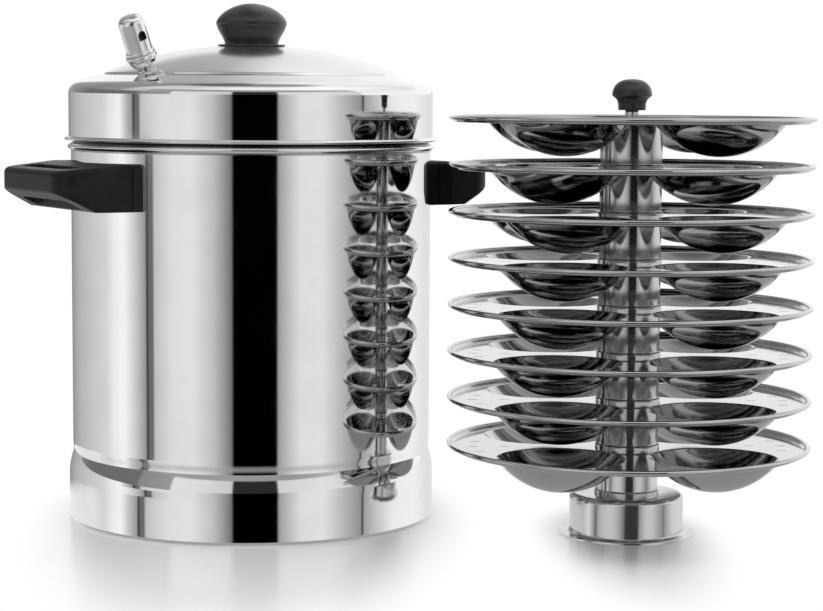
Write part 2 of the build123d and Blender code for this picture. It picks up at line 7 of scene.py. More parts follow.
import bpy
import numpy as np
from mathutils import Matrix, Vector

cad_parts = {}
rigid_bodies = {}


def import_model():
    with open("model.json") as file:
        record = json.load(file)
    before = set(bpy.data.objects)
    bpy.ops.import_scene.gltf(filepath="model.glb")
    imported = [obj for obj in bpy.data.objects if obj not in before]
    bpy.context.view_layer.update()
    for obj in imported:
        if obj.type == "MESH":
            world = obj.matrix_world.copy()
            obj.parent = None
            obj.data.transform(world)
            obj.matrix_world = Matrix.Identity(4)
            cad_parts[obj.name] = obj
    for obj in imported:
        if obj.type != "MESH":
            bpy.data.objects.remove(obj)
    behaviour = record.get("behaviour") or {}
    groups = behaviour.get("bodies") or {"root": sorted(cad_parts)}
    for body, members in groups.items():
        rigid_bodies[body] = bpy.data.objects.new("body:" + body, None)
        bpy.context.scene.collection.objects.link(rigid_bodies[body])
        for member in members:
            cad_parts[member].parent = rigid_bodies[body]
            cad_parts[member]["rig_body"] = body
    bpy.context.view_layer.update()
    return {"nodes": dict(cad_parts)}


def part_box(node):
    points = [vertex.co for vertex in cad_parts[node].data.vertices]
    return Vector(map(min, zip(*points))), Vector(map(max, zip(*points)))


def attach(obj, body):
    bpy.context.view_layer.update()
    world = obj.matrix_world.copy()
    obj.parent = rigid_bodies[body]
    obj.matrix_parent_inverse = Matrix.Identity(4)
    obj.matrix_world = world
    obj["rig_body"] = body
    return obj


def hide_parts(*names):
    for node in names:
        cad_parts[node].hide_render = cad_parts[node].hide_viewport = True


bl_info = {
    "name": "Idli Steamer",
    "version": (1, 0, 0),
    "blender": (4, 5, 0),
    "location": "3D View > Sidebar > Steamer",
    "description": "Dresses the frame of an idli steamer in polished steel and black moulding",
    "category": "Object",
}

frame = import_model()
tier_total = sum(name.startswith("idli_plate_") for name in frame["nodes"])

# Steps that the round surfaces are divided into
turn_steps = 288
small_turn_steps = 96
bend_steps = 10
curve_steps = 40
tube_steps = 20
slot_end_steps = 7
# Spacing of extra points on long straight runs, and how close to a bend the first one lies
pot_support = (0.012, 0.0004)
lid_support = (0.010, 0.0004)
rack_support = (0.008, 0.0003)
# Angles in degrees past which an edge is shaded sharp
sharp_edge = 50.0
plate_sharp_edge = 35.0
# A corner that turns less, in radians, stays as it is, and a point nearer the axis is on it
least_turn = 1e-6
least_radius = 1e-7


# Settings in the sidebar


def property_maker(kind, **fixed):
    """A function that makes properties of one kind from a name, a default and a description."""

    def make(name, default, description):
        return kind(name=name, default=default, description=description, **fixed)

    return make


length = property_maker(bpy.props.FloatProperty, unit="LENGTH", precision=4)
share = property_maker(bpy.props.FloatProperty, min=0.0, max=1.0, subtype="FACTOR")
angle = property_maker(bpy.props.FloatProperty, subtype="ANGLE")
focal_length = property_maker(bpy.props.FloatProperty, unit="CAMERA")
watts = property_maker(bpy.props.FloatProperty, min=0.0, unit="POWER")
colour = property_maker(bpy.props.FloatVectorProperty, min=0.0, max=1.0, subtype="COLOR")
margins = property_maker(bpy.props.FloatVectorProperty, min=0.0, unit="LENGTH", precision=3)


class PotSizes(bpy.types.PropertyGroup):
    """Sizes of the pot and of the sheet that the set is pressed from."""

    sheet: length("Sheet", 0.0008, "Thickness of the steel")
    wall_radius: length("Wall radius", 0.112, "Outer radius of the straight wall")
    base_height: length("Base band height", 0.0415, "Neck above the prouder band at the base")
    shoulder_height: length("Shoulder height", 0.0150, "Height of the bulge under the neck")
    neck_depth: length("Neck depth", 0.0005, "How far the neck lies inside the wall")
    neck_height: length("Neck height", 0.0065, "Height over which the wall draws in to the neck")
    corner_radius: length("Corner radius", 0.002, "Bend between the floor and the base band")
    neck_bend: length("Neck bend", 0.0003, "Bend at the neck")
    bead_width: length("Bead width", 0.0029, "Width of the rolled rim")
    bead_height: length("Bead height", 0.0040, "Height of the rolled rim")
    bead_drop: length("Bead drop", 0.0010, "How far the rolled rim lies under the pot's mouth")


class LidSizes(bpy.types.PropertyGroup):
    """Sizes of the lid. Heights count down from the top of the dome."""

    band_radius: length("Band radius", 0.1133, "Outer radius of the upright band")
    corner_drop: length("Corner drop", 0.0241, "From the dome's top to the corner of the band")
    corner_radius: length("Corner radius", 0.0075, "Bend between the shoulder and the band")
    crease_radius: length("Crease radius", 0.0908, "Radius of the crease around the dome")
    crease_drop: length("Crease drop", 0.0168, "From the dome's top to the crease")
    step_width: length("Step width", 0.0009, "Width of the small step at the crease")
    step_height: length("Step height", 0.0013, "Height of the small step at the crease")
    step_bend: length("Step bend", 0.0006, "Bends of the small step")
    land_radius: length("Land radius", 0.008, "Flat centre under the knob")
    bead_width: length("Bead width", 0.0027, "Width of the rolled edge")
    bead_height: length("Bead height", 0.0027, "Height of the rolled edge")
    bead_rise: length("Bead rise", 0.0001, "How far the rolled edge lies over the pot's mouth")
    plug_radius: length("Plug radius", 0.11085, "Outer radius of the plug in the pot's mouth")
    plug_depth: length("Plug depth", 0.009, "Depth of the plug in the pot's mouth")
    hole_radius: length("Hole radius", 0.0027, "Hole for the screw of the knob")


class KnobSizes(bpy.types.PropertyGroup):
    """Sizes of the two black knobs."""

    radius: length("Lid knob radius", 0.022, "Belly radius of the lid's knob")
    foot_radius: length("Lid knob foot", 0.0166, "Foot radius of the lid's knob")
    belly: share("Belly height", 0.53, "Height of the belly as a share of the knob")
    groove: length("Groove", 0.00035, "Depth of the fine rings under the belly")
    rack_radius: length("Rack knob radius", 0.0119, "Belly radius of the rack's knob")
    rack_neck_radius: length("Rack knob neck", 0.0079, "Neck radius of the rack's knob")
    rack_hub_radius: length("Rack knob hub", 0.004, "Radius of the hub under the neck")
    rack_hub_height: length("Rack knob hub height", 0.0011, "Height of the hub under the neck")
    rack_belly: share("Rack belly height", 0.46, "Height of the sharp edge as a share of the knob")
    stud_radius: length("Stud radius", 0.0031, "Hole for the rod's stud")
    rack_bore: share("Rack knob bore", 0.55, "Depth of that hole as a share of the knob")


class RackSizes(bpy.types.PropertyGroup):
    """Sizes of the rack's foot, its spacer sleeves and its plates."""

    foot_radius: length("Foot radius", 0.0343, "Radius of the foot's wall")
    foot_corner: length("Foot corner", 0.003, "Bend at the foot's top")
    foot_bend: length("Foot bend", 0.0015, "Bend at the foot's flange")
    foot_hole: length("Foot hole", 0.003075, "Radius of the hole in the foot's top")
    rod_radius: length("Rod radius", 0.0041, "Radius of the centre rod")
    sleeve_radius: length("Sleeve radius", 0.0186, "Radius of a spacer sleeve")
    sleeve_corner: length("Sleeve corner", 0.002, "Bend at a sleeve's top")
    sleeve_flare: length("Sleeve flare", 0.0008, "How far a sleeve's foot flares")
    sleeve_flare_height: length("Flare height", 0.0026, "Height of a sleeve's flared foot")
    cup_radius: length("Cup radius", 0.0375, "Mouth radius of one cup")
    cup_depth: length("Cup depth", 0.019, "Depth of one cup")
    cup_circle: length("Cup circle", 0.0637, "Distance of the cups from the rod")
    cup_lip: length("Cup lip", 0.0016, "Flat lip around one cup")
    cup_bend: length("Cup bend", 0.0012, "Bend between the cup and its lip")
    rim_rise: length("Rim rise", 0.0026, "Height of the rim's middle over the web's underside")
    rim_slope: length("Rim slope", 0.002, "Width of the slope up to the rim")
    bead_radius: length("Bead radius", 0.0013, "Radius of the rolled rim")
    web_bend: length("Web bend", 0.0015, "Bend between the web and its rim")
    slot_length: length("Slot length", 0.006, "Length of a steam slot")
    slot_width: length("Slot width", 0.0012, "Width of a steam slot")


class FinishLook(bpy.types.PropertyGroup):
    """Colours and gloss of the finishes."""

    steel: colour("Steel", (0.80, 0.80, 0.80), "Colour of the polished steel")
    steel_roughness: share("Steel roughness", 0.035, "Blur of the pot and the lid")
    dome_roughness: share("Dome roughness", 0.18, "Blur of the lid's dome")
    # Painted shade: the plates' steel is darker than the pot's, for the shade among the stacked plates
    plate_steel: colour("Plate steel", (0.52, 0.52, 0.515), "Colour of the plates")
    plate_roughness: share("Plate roughness", 0.06, "Blur of the plates")
    satin_steel: colour("Satin steel", (0.62, 0.62, 0.615), "Colour of the foot and the sleeves")
    satin_roughness: share("Satin roughness", 0.08, "Blur of the foot and the sleeves")
    satin_haze: share("Satin haze", 0.16, "Share of the broad haze on the foot and the sleeves")
    whistle_haze: share("Whistle haze", 0.18, "Share of the broad haze on the whistle")
    black: colour("Moulding", (0.009, 0.009, 0.0095), "Colour of the black moulding")
    black_roughness: share("Moulding roughness", 0.40, "Blur of the black moulding")
    black_gloss: share("Moulding gloss", 0.13, "Strength of the moulding's reflections")
    knob_black: colour("Knob", (0.015, 0.015, 0.016), "Colour of the two knobs")
    knob_roughness: share("Knob roughness", 0.30, "Blur of the two knobs")
    knob_gloss: share("Knob gloss", 0.48, "Strength of the knobs' reflections")
    whistle_steel: colour("Whistle steel", (0.80, 0.80, 0.795), "Colour of the whistle")
    # Dark colour painted as shade into the gap under the lid and the line under the pot's rolled rim
    tarnish: colour("Tarnish", (0.018, 0.018, 0.018), "Colour of the unpolished steel in a seam")
    brass: colour("Brass", (0.72, 0.52, 0.24), "Colour of the threaded inserts")
    rubber: colour("Gasket", (0.05, 0.05, 0.055), "Colour of the vent's gasket")
    shield: colour("Heat shield", (0.03, 0.03, 0.032), "Colour of the disc under the lid's knob")


class StageLook(bpy.types.PropertyGroup):
    """Camera, floor and light."""

    camera_x: length("Camera X", 0.0717, "Place of the camera along X")
    camera_y: length("Camera Y", -1.400, "Place of the camera along Y")
    camera_z: length("Camera Z", 0.2647, "Height of the camera")
    camera_yaw: angle("Yaw", math.radians(1.188), "Turn of the camera to the right")
    camera_pitch: angle("Pitch", math.radians(5.450), "Tilt of the camera down")
    camera_roll: angle("Roll", math.radians(0.343), "Roll of the camera")
    lens: focal_length("Lens", 97.41, "Focal length for a 36 mm frame")
    floor: colour("Floor", (0.80, 0.80, 0.805), "Colour of the floor")
    floor_half: length("Floor half width", 6.0, "Half the width of the floor")
    pot_margins: margins("Pot margins", (0.030, 0.270, 0.100), "From the pot to plain white")
    foot_margins: margins("Foot margins", (0.022, 0.200, 0.070), "From the foot to plain white")
    pot_start: share("Pot start", 0.60, "Share of the way out where the fade by the pot starts")
    foot_start: share("Foot start", 0.30, "Share of the way out where the fade by the foot starts")
    lamp_size: length("Lamp size", 1.6, "Width of the large soft lamp overhead")
    lamp_power: watts("Lamp power", 9.0, "Power of that lamp")


# Outlines, each an array of radius and height


def line_of(across, up):
    """The outline through points with these radii and these heights."""
    return np.stack([across, up], 1)


def cap_line(centre, pole, radius, sweep, side):
    """Arc of a round cap out from its pole, where side is -1 for a dome and 1 for a bowl.

    The point at angle t is (centre + radius sin t, pole + side radius (1 - cos t)).
    """
    return line_of(centre + radius * np.sin(sweep), pole + side * radius * (1 - np.cos(sweep)))


def rounded(points, bends):
    """Polyline with each corner between its ends rounded by its own bend.

    A corner becomes an arc of its bend radius b that starts b tan(turn / 2) before it.
    """
    corners = np.asarray(points, float)
    parts = [corners[:1]]
    for back, here, ahead, bend in zip(corners, corners[1:], corners[2:], bends):
        into = (here - back) / np.linalg.norm(here - back)
        out = (ahead - here) / np.linalg.norm(ahead - here)
        turn = math.atan2(into[0] * out[1] - into[1] * out[0], float(into @ out))
        if bend <= 0 or abs(turn) < least_turn:
            parts.append(here[None])
            continue
        side = math.copysign(1.0, turn)
        reach = bend * math.tan(abs(turn) / 2)
        centre = here - into * reach + side * bend * np.array([-into[1], into[0]])
        start = math.atan2(into[1], into[0]) - side * math.pi / 2
        sweep = start + np.linspace(0.0, turn, bend_steps + 1)
        parts.append(centre + bend * line_of(np.cos(sweep), np.sin(sweep)))
    return np.concatenate([*parts, corners[-1:]])


def supported(outline, support, closed=False):
    """The outline with extra points on its long runs: one close to each end and others evenly.

    A run shorter than half the spacing keeps only its ends, so that curves stay smooth.
    """
    spacing, margin = support
    ends = np.concatenate([outline[1:], outline[:1]]) if closed else outline[1:]
    pieces = []
    for start, end in zip(outline if closed else outline[:-1], ends):
        run = np.linalg.norm(end - start)
        if run < spacing / 2:
            pieces.append(start[None])
            continue
        inner = np.linspace(margin, run - margin, 2 + int(run / spacing))
        along = np.concatenate([[0.0], inner]) / run
        pieces.append(start + along[:, None] * (end - start))
    if not closed:
        pieces.append(outline[-1:])
    return np.concatenate(pieces)


def offset_line(points, offset):
    """The polyline moved sideways, to the left of its travel, mitred at its corners."""
    line = np.asarray(points, float)
    steps = np.diff(line, axis=0)
    normals = np.stack([-steps[:, 1], steps[:, 0]], 1) / np.linalg.norm(steps, axis=1)[:, None]
    before = np.concatenate([normals[:1], normals])
    after = np.concatenate([normals, normals[-1:]])
    spread = 1.0 + (before * after).sum(1)
    return line + offset * (before + after) / spread[:, None]


def sheet_outline(points, bends, offset):
    """Outline of bent sheet: one face along the points, and the other face beside it."""
    line = np.asarray(points, float)
    steps = np.diff(line, axis=0)
    turns = np.sign(steps[:-1, 0] * steps[1:, 1] - steps[:-1, 1] * steps[1:, 0])
    far_bends = np.maximum(np.asarray(bends) - offset * turns, 0.0)
    near = rounded(line, bends)
    far = rounded(offset_line(line, offset), far_bends)
    return np.concatenate([near, far[::-1]])


def bead_outline(inner, low, width, height):
    """Outline of a rolled edge: half an ellipse that stands out from a wall.

    The point at angle t is (inner + width cos t, middle + height / 2 sin t).
    """
    sweep = np.linspace(-math.pi / 2, math.pi / 2, tube_steps)
    return line_of(inner + width * np.cos(sweep), low + height / 2 * (1 + np.sin(sweep)))


# Meshes


def turned(outline, centre=(0.0, 0.0), closed=False, steps=turn_steps):
    """Surface of revolution of the outline about an upright axis through the centre.

    A point at radius r and height z becomes the ring (r cos t, r sin t, z). A point on the axis
    stays one vertex, and the outline is turned over first where its faces would point inwards.
    """
    radius, height = outline[:, 0], outline[:, 1]
    around = np.concatenate([outline, outline[:1]])
    area = (around[:-1, 0] * around[1:, 1] - around[1:, 0] * around[:-1, 1]).sum()
    if area < 0:
        radius, height = radius[::-1], height[::-1]
    turn = np.linspace(0.0, 2 * math.pi, steps, endpoint=False)
    points = np.stack(
        [
            centre[0] + radius[:, None] * np.cos(turn),
            centre[1] + radius[:, None] * np.sin(turn),
            np.repeat(height[:, None], steps, 1),
        ],
        -1,
    )
    on_axis = radius < least_radius
    wide = np.where(on_axis, 1, steps)
    first = np.concatenate([[0], np.cumsum(wide)[:-1]])
    rings = first[:, None] + np.where(on_axis[:, None], 0, np.arange(steps))
    vertices = np.concatenate([ring[:size] for ring, size in zip(points, wide)])
    lower = rings if closed else rings[:-1]
    upper = np.roll(rings, -1, axis=0) if closed else rings[1:]
    faces = np.stack(
        [lower, np.roll(lower, -1, axis=1), np.roll(upper, -1, axis=1), upper], -1
    ).reshape(-1, 4)
    flat = np.repeat((lower[:, 0] == lower[:, 1]) & (upper[:, 0] == upper[:, 1]), steps)
    faces = faces[~flat]
    low_pole = faces[:, 0] == faces[:, 1]
    high_pole = faces[:, 2] == faces[:, 3]
    quads = faces[~(low_pole | high_pole)].tolist()
    caps = faces[low_pole][:, [0, 2, 3]].tolist() + faces[high_pole][:, [0, 1, 2]].tolist()
    return vertices, quads + caps


def joined(*solids):
    """Several meshes as one list of vertices and one list of faces."""
    vertices, faces, count = [], [], 0
    for points, polygons in solids:
        vertices.append(points)
        faces.extend([[corner + count for corner in face] for face in polygons])
        count += len(points)
    return np.concatenate(vertices), faces


def moved(solid, turn, offset):
    """The mesh turned about the Z axis and then shifted."""
    points, faces = solid
    c, s = math.cos(turn), math.sin(turn)
    rotation = np.array([[c, s, 0.0], [-s, c, 0.0], [0.0, 0.0, 1.0]])
    return points @ rotation + offset, faces


def make_piece(name, solid, material, sharp=None):
    """One object at the origin, smooth, with sharp edges past the angle where one is given."""
    mesh = bpy.data.meshes.new(name)
    points, faces = solid
    mesh.from_pydata(points.tolist(), [], faces)
    mesh.update()
    mesh.shade_smooth()
    if sharp is not None:
        mesh.set_sharp_from_angle(angle=math.radians(sharp))
    mesh.materials.append(material)
    piece = bpy.data.objects.new(name, mesh)
    bpy.context.scene.collection.objects.link(piece)
    return piece


def stand_in(node, name, solid, material, sharp=None):
    """Makes a piece that replaces a CAD node and rides on that node's body."""
    piece = make_piece(name, solid, material, sharp)
    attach(piece, frame["nodes"][node]["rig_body"])
    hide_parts(node)


def paint_node(node, material):
    """Gives a CAD node that stays in view its material."""
    target = frame["nodes"][node]
    if not target.material_slots:
        target.data.materials.append(material)
    for holder in target.material_slots:
        holder.material = material


def axis_of(node):
    """Place of the upright axis of a round node."""
    low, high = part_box(node)
    return ((low.x + high.x) / 2, (low.y + high.y) / 2)


# Shader maths


def math_method(operation, reflected=False):
    """A method of Wire that adds this Math node, with its values turned over where reflected."""

    def method(self, *others):
        values = (*others, self) if reflected else (self, *others)
        inputs = dict(enumerate(values))
        return self.nodes.add("ShaderNodeMath", {"operation": operation}, inputs)

    return method


class Wire:
    """One output of a node, which adds Math nodes when it is calculated with."""

    def __init__(self, nodes, socket):
        self.nodes = nodes
        self.socket = socket

    __add__ = math_method("ADD")
    __radd__ = math_method("ADD", reflected=True)
    __sub__ = math_method("SUBTRACT")
    __rsub__ = math_method("SUBTRACT", reflected=True)
    __mul__ = math_method("MULTIPLY")
    __rmul__ = math_method("MULTIPLY", reflected=True)
    __truediv__ = math_method("DIVIDE")
    angle_to = math_method("ARCTAN2")
    root = math_method("SQRT")
    largest = math_method("MAXIMUM")


class Nodes:
    """A node tree that is filled by expressions."""

    def __init__(self, tree):
        self.tree = tree
        tree.nodes.clear()

    def add(self, kind, settings=None, inputs=None, output=0):
        """Adds a node with its settings first, then the values or links of its sockets."""
        node = self.tree.nodes.new(kind)
        for name, value in (settings or {}).items():
            if name == "stops":
                fill_ramp(node.color_ramp, value)
            else:
                setattr(node, name, value)
        for key, value in (inputs or {}).items():
            if isinstance(value, Wire):
                self.tree.links.new(value.socket, node.inputs[key])
            else:
                node.inputs[key].default_value = value
        if not node.outputs:
            return node
        return Wire(self, node.outputs[output])

    def place(self):
        """The object's own coordinates."""
        return self.add("ShaderNodeTexCoord", output="Object")

    def split(self, vector):
        """The three parts of a vector."""
        node = self.tree.nodes.new("ShaderNodeSeparateXYZ")
        self.tree.links.new(vector.socket, node.inputs[0])
        return [Wire(self, output) for output in node.outputs]

    def ray(self, kind):
        """One for a ray of this kind and none for the others."""
        return self.add("ShaderNodeLightPath", output=kind)

    def noise(self, vector, scale, detail=2.0, roughness=0.5):
        """Fractal noise of a vector, from none to one."""
        inputs = {"Vector": vector, "Scale": scale, "Detail": detail, "Roughness": roughness}
        return self.add("ShaderNodeTexNoise", {}, inputs)

    def smooth(self, value, start, end, low=0.0, high=1.0):
        """Smooth step of a value from low at the start to high at the end."""
        settings = {"interpolation_type": "SMOOTHSTEP"}
        inputs = {0: value, 1: start, 2: end, 3: low, 4: high}
        return self.add("ShaderNodeMapRange", settings, inputs)

    def blend(self, mask, first, second):
        """Mix of two colours by a mask."""
        settings = {"data_type": "RGBA", "clamp_factor": True}
        return self.add("ShaderNodeMix", settings, {0: mask, 6: first, 7: second}, output=2)

    def bump(self, height, strength):
        """Normal bent by a height in metres."""
        inputs = {"Strength": strength, "Distance": 1.0, "Height": height}
        return self.add("ShaderNodeBump", {}, inputs)

    def surface(self, inputs):
        """A principled surface."""
        return self.add("ShaderNodeBsdfPrincipled", {}, inputs)

    def mixed(self, factor, first, second):
        """Mix of two surfaces."""
        return self.add("ShaderNodeMixShader", {}, {0: factor, 1: first, 2: second})

    def show(self, surface):
        """Makes a surface the material's output."""
        self.add("ShaderNodeOutputMaterial", {}, {"Surface": surface})


def fill_ramp(ramp, stops):
    """Sets a ramp from pairs of a place and a grey or a colour."""
    while len(ramp.elements) > 1:
        ramp.elements.remove(ramp.elements[-1])
    for index, (place, value) in enumerate(stops):
        element = ramp.elements[0] if index == 0 else ramp.elements.new(place)
        element.position = place
        element.color = opaque(value)


def opaque(value):
    """A grey or a colour with full cover."""
    grey = [value] * 3 if isinstance(value, (int, float)) else list(value)
    return (*grey[:3], 1.0)


def linear(display):
    """Scene value of a grey that is written as it shows on a screen."""
    return display / 12.92 if display <= 0.04045 else ((display + 0.055) / 1.055) ** 2.4


def tinted(swatch, gain):
    """A colour made lighter or darker by a gain."""
    return opaque([min(1.0, channel * gain) for channel in swatch])


def new_material(name):
    """An empty material and its nodes."""
    material = bpy.data.materials.new(name)
    material.use_nodes = True
    return material, Nodes(material.node_tree)


# Steel: scales of its turning lines, slow waves and clouds, and the heights of the first two
line_scale = 900.0
wave_scale = 14.0
cloud_scale = 45.0
line_height = 0.00000025
wave_height = 0.00003
steel_bump = 0.35
# Values of the cloud noise between which the steel turns from clear to cloudy, and its shade there
cloud_range = (0.35, 0.75)
cloud_shade = 0.95
# Blur that clouds and lines add, as shares of the steel's own, and the blur of seams and haze
cloud_blur = 0.5
line_blur = 0.4
seam_blur = 0.3
haze_blur = 0.55
# Haze: how much it raises the lines, and its least share and the share that the lines add
haze_line_gain = 12.0
haze_floor = 0.7
haze_lines = 0.6
# Half the soft edge of a seam and of the dome's blur
seam_edge = 0.00015
dome_edge = 0.001
# How dark the painted shade is in the gap under the lid and in the line under the pot's rolled rim
gap_shade_depth = 1.0
under_rim_shade_depth = 0.6


def steel_material(name, centre, swatch, base, haze=0.0, dome=None, shaded_seams=()):
    """Polished steel with fine turning lines around its axis and a faint haze.

    The lines are noise of radius and height about the axis, so they run round the piece. Soft
    noise lifts the roughness a little, and a dome is blurrier above its height. A satin steel
    mixes the sharp surface with a share of a very blurry one. A seam is two heights, between
    which the steel's colour is painted dark as shade and its blur is raised, and how dark that
    painted shade is.
    """
    material, nodes = new_material(name)
    place = nodes.place()
    shift = (-centre[0], -centre[1], 0.0)
    local = nodes.add("ShaderNodeMapping", {}, {"Vector": place, "Location": shift})
    x, y, z = nodes.split(local)
    radius = (x * x + y * y).root()
    rings = nodes.add("ShaderNodeCombineXYZ", {}, {"X": radius, "Y": z, "Z": 0.0})
    lines = nodes.noise(rings, line_scale, detail=3.0, roughness=0.6)
    wave = nodes.noise(place, wave_scale, detail=1.0)
    cloud = nodes.noise(place, cloud_scale, detail=4.0, roughness=0.55)
    clean = nodes.smooth(cloud, *cloud_range)
    roughness = base + clean * (base * cloud_blur) + lines * (base * line_blur)
    if dome is not None:
        crease, blur = dome
        blurred = nodes.smooth(z, crease - dome_edge, crease + dome_edge, 0.0, blur)
        roughness = roughness + blurred
    shade = nodes.blend(clean, opaque(swatch), tinted(swatch, cloud_shade))
    # Painted shade: each seam darkens the steel's colour between its two heights, and also blurs it
    for low, high, depth in shaded_seams:
        above = nodes.smooth(z, low - seam_edge, low + seam_edge)
        below = nodes.smooth(z, high - seam_edge, high + seam_edge, 1.0, 0.0)
        seam = above * below * depth
        shade = nodes.blend(seam, shade, opaque(bpy.context.scene.steamer_finish.tarnish))
        roughness = roughness + seam * seam_blur
    height = lines * (line_height * (1.0 + haze_line_gain * haze)) + wave * wave_height
    normal = nodes.bump(height, steel_bump)
    inputs = {"Base Color": shade, "Metallic": 1.0, "Roughness": roughness, "Normal": normal}
    surface = nodes.surface(inputs)
    if haze:
        inputs["Roughness"] = haze_blur
        haze_share = haze * (haze_floor + lines * haze_lines)
        surface = nodes.mixed(haze_share, surface, nodes.surface(inputs))
    nodes.show(surface)
    return material


# Moulding: scales and heights of its grain and of its flow marks, and the strength of its bump
grain_scale = 1800.0
flow_scale = 90.0
grain_height = 0.000012
flow_height = 0.00006
fine_bump = 0.4
# Values of the flow noise between which the moulding turns worn, and its shade and blur there
wear_range = (0.4, 0.7)
wear_shade = 1.5
wear_blur = 0.06
grain_blur = 0.03


def moulding_material(name, swatch, base, gloss):
    """Black moulded plastic: fine grain, faint flow marks and satin gloss."""
    material, nodes = new_material(name)
    place = nodes.place()
    grain = nodes.noise(place, grain_scale)
    flow = nodes.noise(place, flow_scale, detail=3.0)
    wear = nodes.smooth(flow, *wear_range)
    inputs = {
        "Base Color": nodes.blend(wear, opaque(swatch), tinted(swatch, wear_shade)),
        "Roughness": base + wear * wear_blur - grain * grain_blur,
        "Specular IOR Level": gloss,
        "Normal": nodes.bump(grain * grain_height + flow * flow_height, fine_bump),
    }
    nodes.show(nodes.surface(inputs))
    return material


# Small parts: shades at the ends of their blotches, the blur these add, and the grain's finer
# scale and its height
blotch_shades = (0.85, 1.1)
blotch_blur = 0.08
blotch_grain = 12.0
blotch_height = 0.00001


def plain_material(name, swatch, metallic, roughness, scale):
    """A small hidden part's finish: its colour with soft blotches and grain."""
    material, nodes = new_material(name)
    place = nodes.place()
    cloud = nodes.noise(place, scale, detail=3.0)
    grain = nodes.noise(place, scale * blotch_grain)
    dark, pale = (tinted(swatch, gain) for gain in blotch_shades)
    inputs = {
        "Base Color": nodes.blend(cloud, dark, pale),
        "Metallic": metallic,
        "Roughness": roughness + cloud * blotch_blur,
        "Normal": nodes.bump(grain * blotch_height, fine_bump),
    }
    nodes.show(nodes.surface(inputs))
    return material


def make_finishes():
    """Every finish by its name, from the settings in the sidebar."""
    scene = bpy.context.scene
    look, pot, lid = scene.steamer_finish, scene.steamer_pot, scene.steamer_lid
    mirror, satin = look.steel_roughness, look.satin_roughness
    dome = (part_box("lid_shell")[1].z - lid.crease_drop, look.dome_roughness - mirror)
    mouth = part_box("pot_shell")[1].z
    rim_low = mouth - pot.bead_drop - pot.bead_height
    # Heights of the painted shade in the gap under the lid and under the pot's rolled rim, and how
    # dark it is
    gap = (mouth - pot.bead_drop, mouth + lid.bead_rise, gap_shade_depth)
    under_rim = (rim_low - pot.sheet, rim_low, under_rim_shade_depth)
    middle, rack = (0.0, 0.0), axis_of("rack_foot")
    # Axis, colour, blur, haze, blurrier dome and seams of painted shade
    steels = {
        "pot_steel": (middle, look.steel, mirror, 0.0, None, (gap, under_rim)),
        "lid_steel": (middle, look.steel, mirror, 0.0, dome, (gap,)),
        "plate_steel": (rack, look.plate_steel, look.plate_roughness),
        "satin_steel": (rack, look.satin_steel, satin, look.satin_haze),
        "whistle_steel": (axis_of("whistle_cap"), look.whistle_steel, satin, look.whistle_haze),
    }
    # Colour, blur and gloss
    mouldings = {
        "black_moulding": (look.black, look.black_roughness, look.black_gloss),
        "knob_moulding": (look.knob_black, look.knob_roughness, look.knob_gloss),
    }
    # Colour, metal, blur and scale of the blotches
    small_parts = {
        "small_steel": (look.steel, 1.0, 0.12, 300.0),
        "brass": (look.brass, 1.0, 0.25, 260.0),
        "rubber": (look.rubber, 0.0, 0.7, 200.0),
        "shield": (look.shield, 0.0, 0.4, 200.0),
    }
    kinds = (
        (steel_material, steels),
        (moulding_material, mouldings),
        (plain_material, small_parts),
    )
    return {name: make(name, *row) for make, rows in kinds for name, row in rows.items()}


finishes = {}


def finish(name):
    """The finish of that name. All are made when the first is asked for."""
    if not finishes:
        finishes.update(make_finishes())
    return finishes[name]


# Pieces


class STEAMER_OT_pot(bpy.types.Operator):
    """Makes the pot: base band, straight wall and rolled rim"""

    bl_idname = "steamer.pot"
    bl_label = "Pot"

    def execute(self, context):
        pot = context.scene.steamer_pot
        low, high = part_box("pot_shell")
        neck = pot.wall_radius - pot.neck_depth
        rise = np.linspace(0.0, 1.0, bend_steps + 1)
        shoulder = line_of(
            high.x - (high.x - neck) * rise**2,
            pot.base_height - pot.shoulder_height * (1 - rise),
        )
        draw = 0.5 - 0.5 * np.cos(math.pi * rise[1:])
        throat = line_of(
            neck + pot.neck_depth * draw, pot.base_height + pot.neck_height * rise[1:]
        )
        foot = [(0.0, low.z), (high.x, low.z)]
        bead_low = high.z - pot.bead_drop - pot.bead_height
        wall_top = [(pot.wall_radius, bead_low + pot.bead_height / 2)]
        wall = np.concatenate([foot, shoulder, throat, wall_top])
        bends = np.zeros(len(wall) - 2)
        bends[0], bends[bend_steps + 1] = pot.corner_radius, pot.neck_bend
        shell = supported(sheet_outline(wall, bends, pot.sheet), pot_support)
        bead = bead_outline(
            pot.wall_radius - pot.sheet, bead_low, pot.bead_width, pot.bead_height
        )
        solid = joined(turned(shell), turned(bead, closed=True))
        stand_in("pot_shell", "pot_body", solid, finish("pot_steel"))
        return {"FINISHED"}


